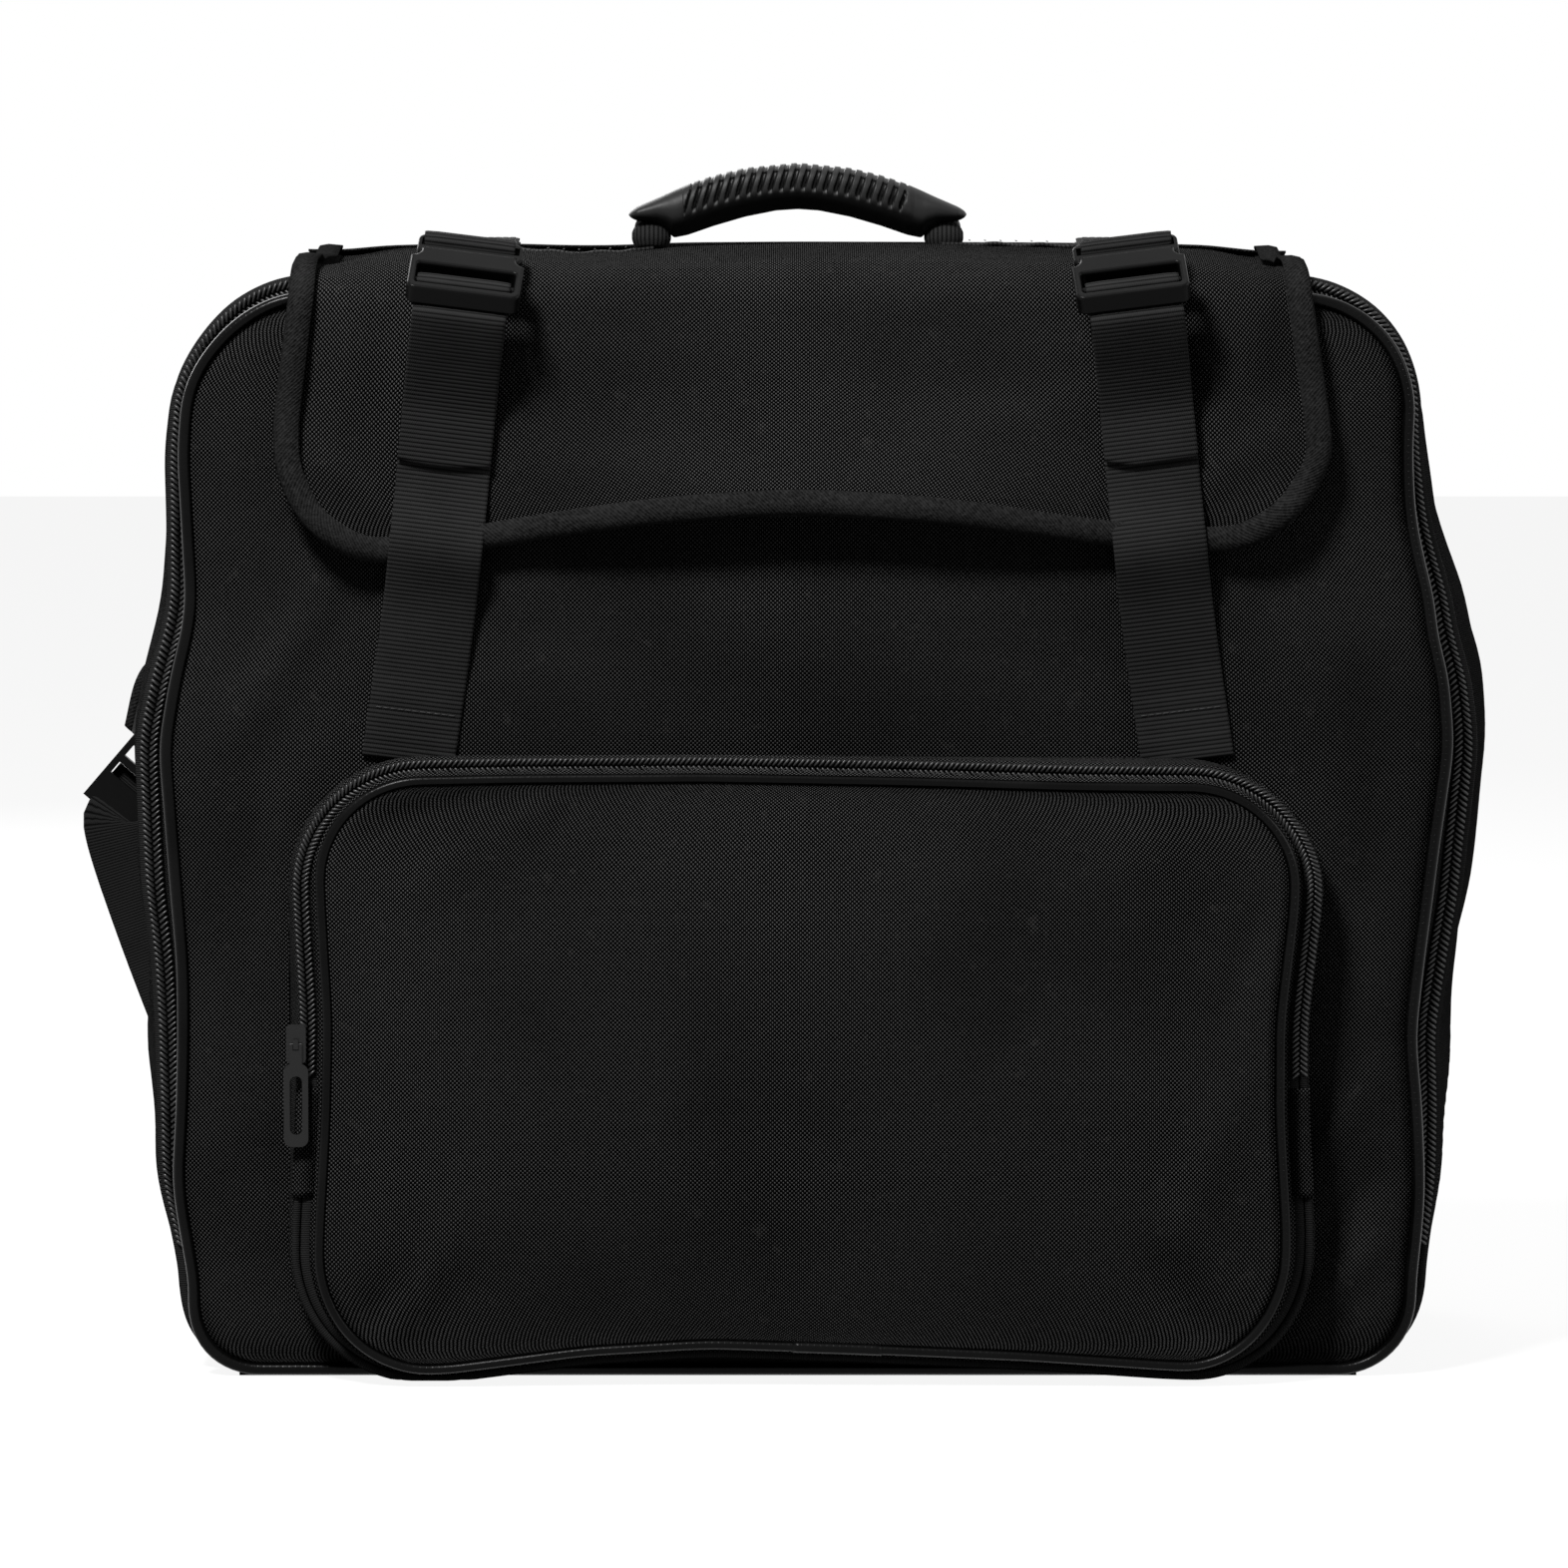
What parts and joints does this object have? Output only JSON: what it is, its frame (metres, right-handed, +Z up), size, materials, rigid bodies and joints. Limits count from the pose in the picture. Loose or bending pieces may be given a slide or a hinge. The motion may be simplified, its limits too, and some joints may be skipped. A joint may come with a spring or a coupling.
{
  "type": "accordion case",
  "caption": "Soft padded black accordion gig bag with an over-the-top flap, two buckled straps, a zipped front panel, a front pocket, a moulded carrying handle and shoulder straps.",
  "frame": {"origin": "middle of the base on the surface that the case stands on", "axes": "+Z up, -Y out of the front panel with the pocket, +X to the right seen from the front"},
  "size_m": [0.5805, 0.2868, 0.498],
  "materials": {
    "cloth": "black coarse basket-weave nylon",
    "lining": "short-pile black plush",
    "foam": "grey closed-cell foam",
    "webbing": "ribbed black polypropylene webbing",
    "piping": "glossy black PVC piping",
    "zip_coil": "black nylon coil on woven tape",
    "zip_metal": "black enamelled zinc",
    "black_plastic": "satin black acetal",
    "grip_rubber": "black moulded rubber",
    "black_steel": "black wire",
    "steel": "spring steel strip",
    "board": "stiffener board"
  },
  "bodies": {
    "case_shell": {"base_cover": "cloth", "gusset_cover": "cloth", "base_padding": "foam", "gusset_padding": "foam", "gusset_lining": "lining", "back_padding": "foam", "back_lining": "lining", "back_cover": "cloth", "base_board": "board", "instrument_strap": "webbing", "main_zip_rear": "zip_coil", "gusset_foot_web": "cloth", "flap_seam_tape": "webbing", "strap_patches": "webbing"},
    "front_panel": {"panel_cover": "cloth", "panel_padding": "foam", "panel_lining": "lining", "panel_gusset": "cloth", "panel_piping": "piping", "main_zip_front": "zip_coil", "pocket_front_lower": "cloth", "pocket_band_lower": "cloth", "pocket_piping_lower": "piping", "pocket_zip_rear": "zip_coil", "pocket_zip_closed": "zip_coil", "pocket_gusset": "cloth", "strap_feet": "webbing"},
    "pocket_front": {"pocket_front_upper": "cloth", "pocket_band_upper": "cloth", "pocket_piping_upper": "piping", "pocket_zip_front": "zip_coil"},
    "flap": {"flap_cover": "cloth", "flap_padding": "foam", "flap_lining": "lining", "flap_binding": "webbing", "handle_loops": "webbing", "handle_webbing": "webbing", "buckle_male_left": "black_plastic", "buckle_male_right": "black_plastic", "buckle_webbing": "webbing"},
    "handle": {"handle_grip": "grip_rubber", "handle_core": "steel", "handle_rings": "black_steel"},
    "strap_left": {"strap_webbing_left": "webbing", "buckle_female_left": "black_plastic"},
    "strap_right": {"strap_webbing_right": "webbing", "buckle_female_right": "black_plastic"},
    "main_slider_left": {"main_slider_left": "zip_metal"},
    "main_slider_right": {"main_slider_right": "zip_metal"},
    "main_pull_left": {"main_pull_left": "zip_metal"},
    "main_pull_right": {"main_pull_right": "zip_metal"},
    "pocket_slider": {"pocket_slider": "zip_metal"},
    "pocket_pull": {"pocket_pull": "zip_metal"},
    "shoulder_strap_left": {"shoulder_strap_left": "cloth", "ladder_lock_left": "black_plastic", "lower_webbing_left": "webbing"},
    "shoulder_strap_right": {"shoulder_strap_right": "cloth", "ladder_lock_right": "black_plastic", "lower_webbing_right": "webbing"}
  },
  "joints": [
    {"name": "panel_hinge", "type": "hinge", "parent": "case_shell", "child": "front_panel", "pos_m": [0, -0.1175, 0.003], "axis": [1, 0, 0], "range_deg": [0, 85]},
    {"name": "flap_hinge", "type": "hinge", "parent": "case_shell", "child": "flap", "pos_m": [0, 0.1185, 0.4595], "axis": [-1, 0, 0], "range_deg": [0, 90]},
    {"name": "strap_left_hinge", "type": "hinge", "parent": "front_panel", "child": "strap_left", "pos_m": [-0.156, -0.1219, 0.277], "axis": [0.9925, 0, -0.1219], "range_deg": [0, 112.5]},
    {"name": "strap_right_hinge", "type": "hinge", "parent": "front_panel", "child": "strap_right", "pos_m": [0.156, -0.1219, 0.277], "axis": [0.9925, 0, 0.1219], "range_deg": [0, 112.5]},
    {"name": "handle_hinge", "type": "hinge", "parent": "flap", "child": "handle", "pos_m": [0, -0.02, 0.4665], "axis": [1, 0, 0], "range_deg": [-45, 45]},
    {"name": "pocket_hinge", "type": "hinge", "parent": "front_panel", "child": "pocket_front", "pos_m": [0, -0.153, 0.15015], "axis": [1, 0, 0], "range_deg": [0, 115]},
    {"name": "pocket_slider_travel", "type": "slide", "parent": "front_panel", "child": "pocket_slider", "axis": [0, 0, 1], "range_m": [0, 0.045]},
    {"name": "pocket_pull_hinge", "type": "hinge", "parent": "pocket_slider", "child": "pocket_pull", "pos_m": [-0.2045, -0.1445, 0.14], "axis": [-1, 0, 0], "range_deg": [0, 150]},
    {"name": "main_slider_left_travel", "type": "slide", "parent": "case_shell", "child": "main_slider_left", "axis": [-1, 0, 0], "range_m": [0, 0.19]},
    {"name": "main_slider_right_travel", "type": "slide", "parent": "case_shell", "child": "main_slider_right", "axis": [1, 0, 0], "range_m": [0, 0.19]},
    {"name": "main_pull_left_hinge", "type": "hinge", "parent": "main_slider_left", "child": "main_pull_left", "pos_m": [-0.01, -0.1025, 0.449], "axis": [0, 0, 1], "range_deg": [0, 20]},
    {"name": "main_pull_right_hinge", "type": "hinge", "parent": "main_slider_right", "child": "main_pull_right", "pos_m": [0.01, -0.1025, 0.449], "axis": [0, 0, -1], "range_deg": [0, 20]},
    {"name": "shoulder_left_hinge", "type": "hinge", "parent": "case_shell", "child": "shoulder_strap_left", "pos_m": [-0.062, 0.1217, 0.415], "axis": [1, 0, 0], "range_deg": [0, 30]},
    {"name": "shoulder_right_hinge", "type": "hinge", "parent": "case_shell", "child": "shoulder_strap_right", "pos_m": [0.062, 0.1217, 0.415], "axis": [1, 0, 0], "range_deg": [0, 30]}
  ],
  "couplings": [
    {"joint": "strap_left_hinge", "follows": "flap_hinge", "ratio": 1.25},
    {"joint": "strap_right_hinge", "follows": "flap_hinge", "ratio": 1.25}
  ]
}
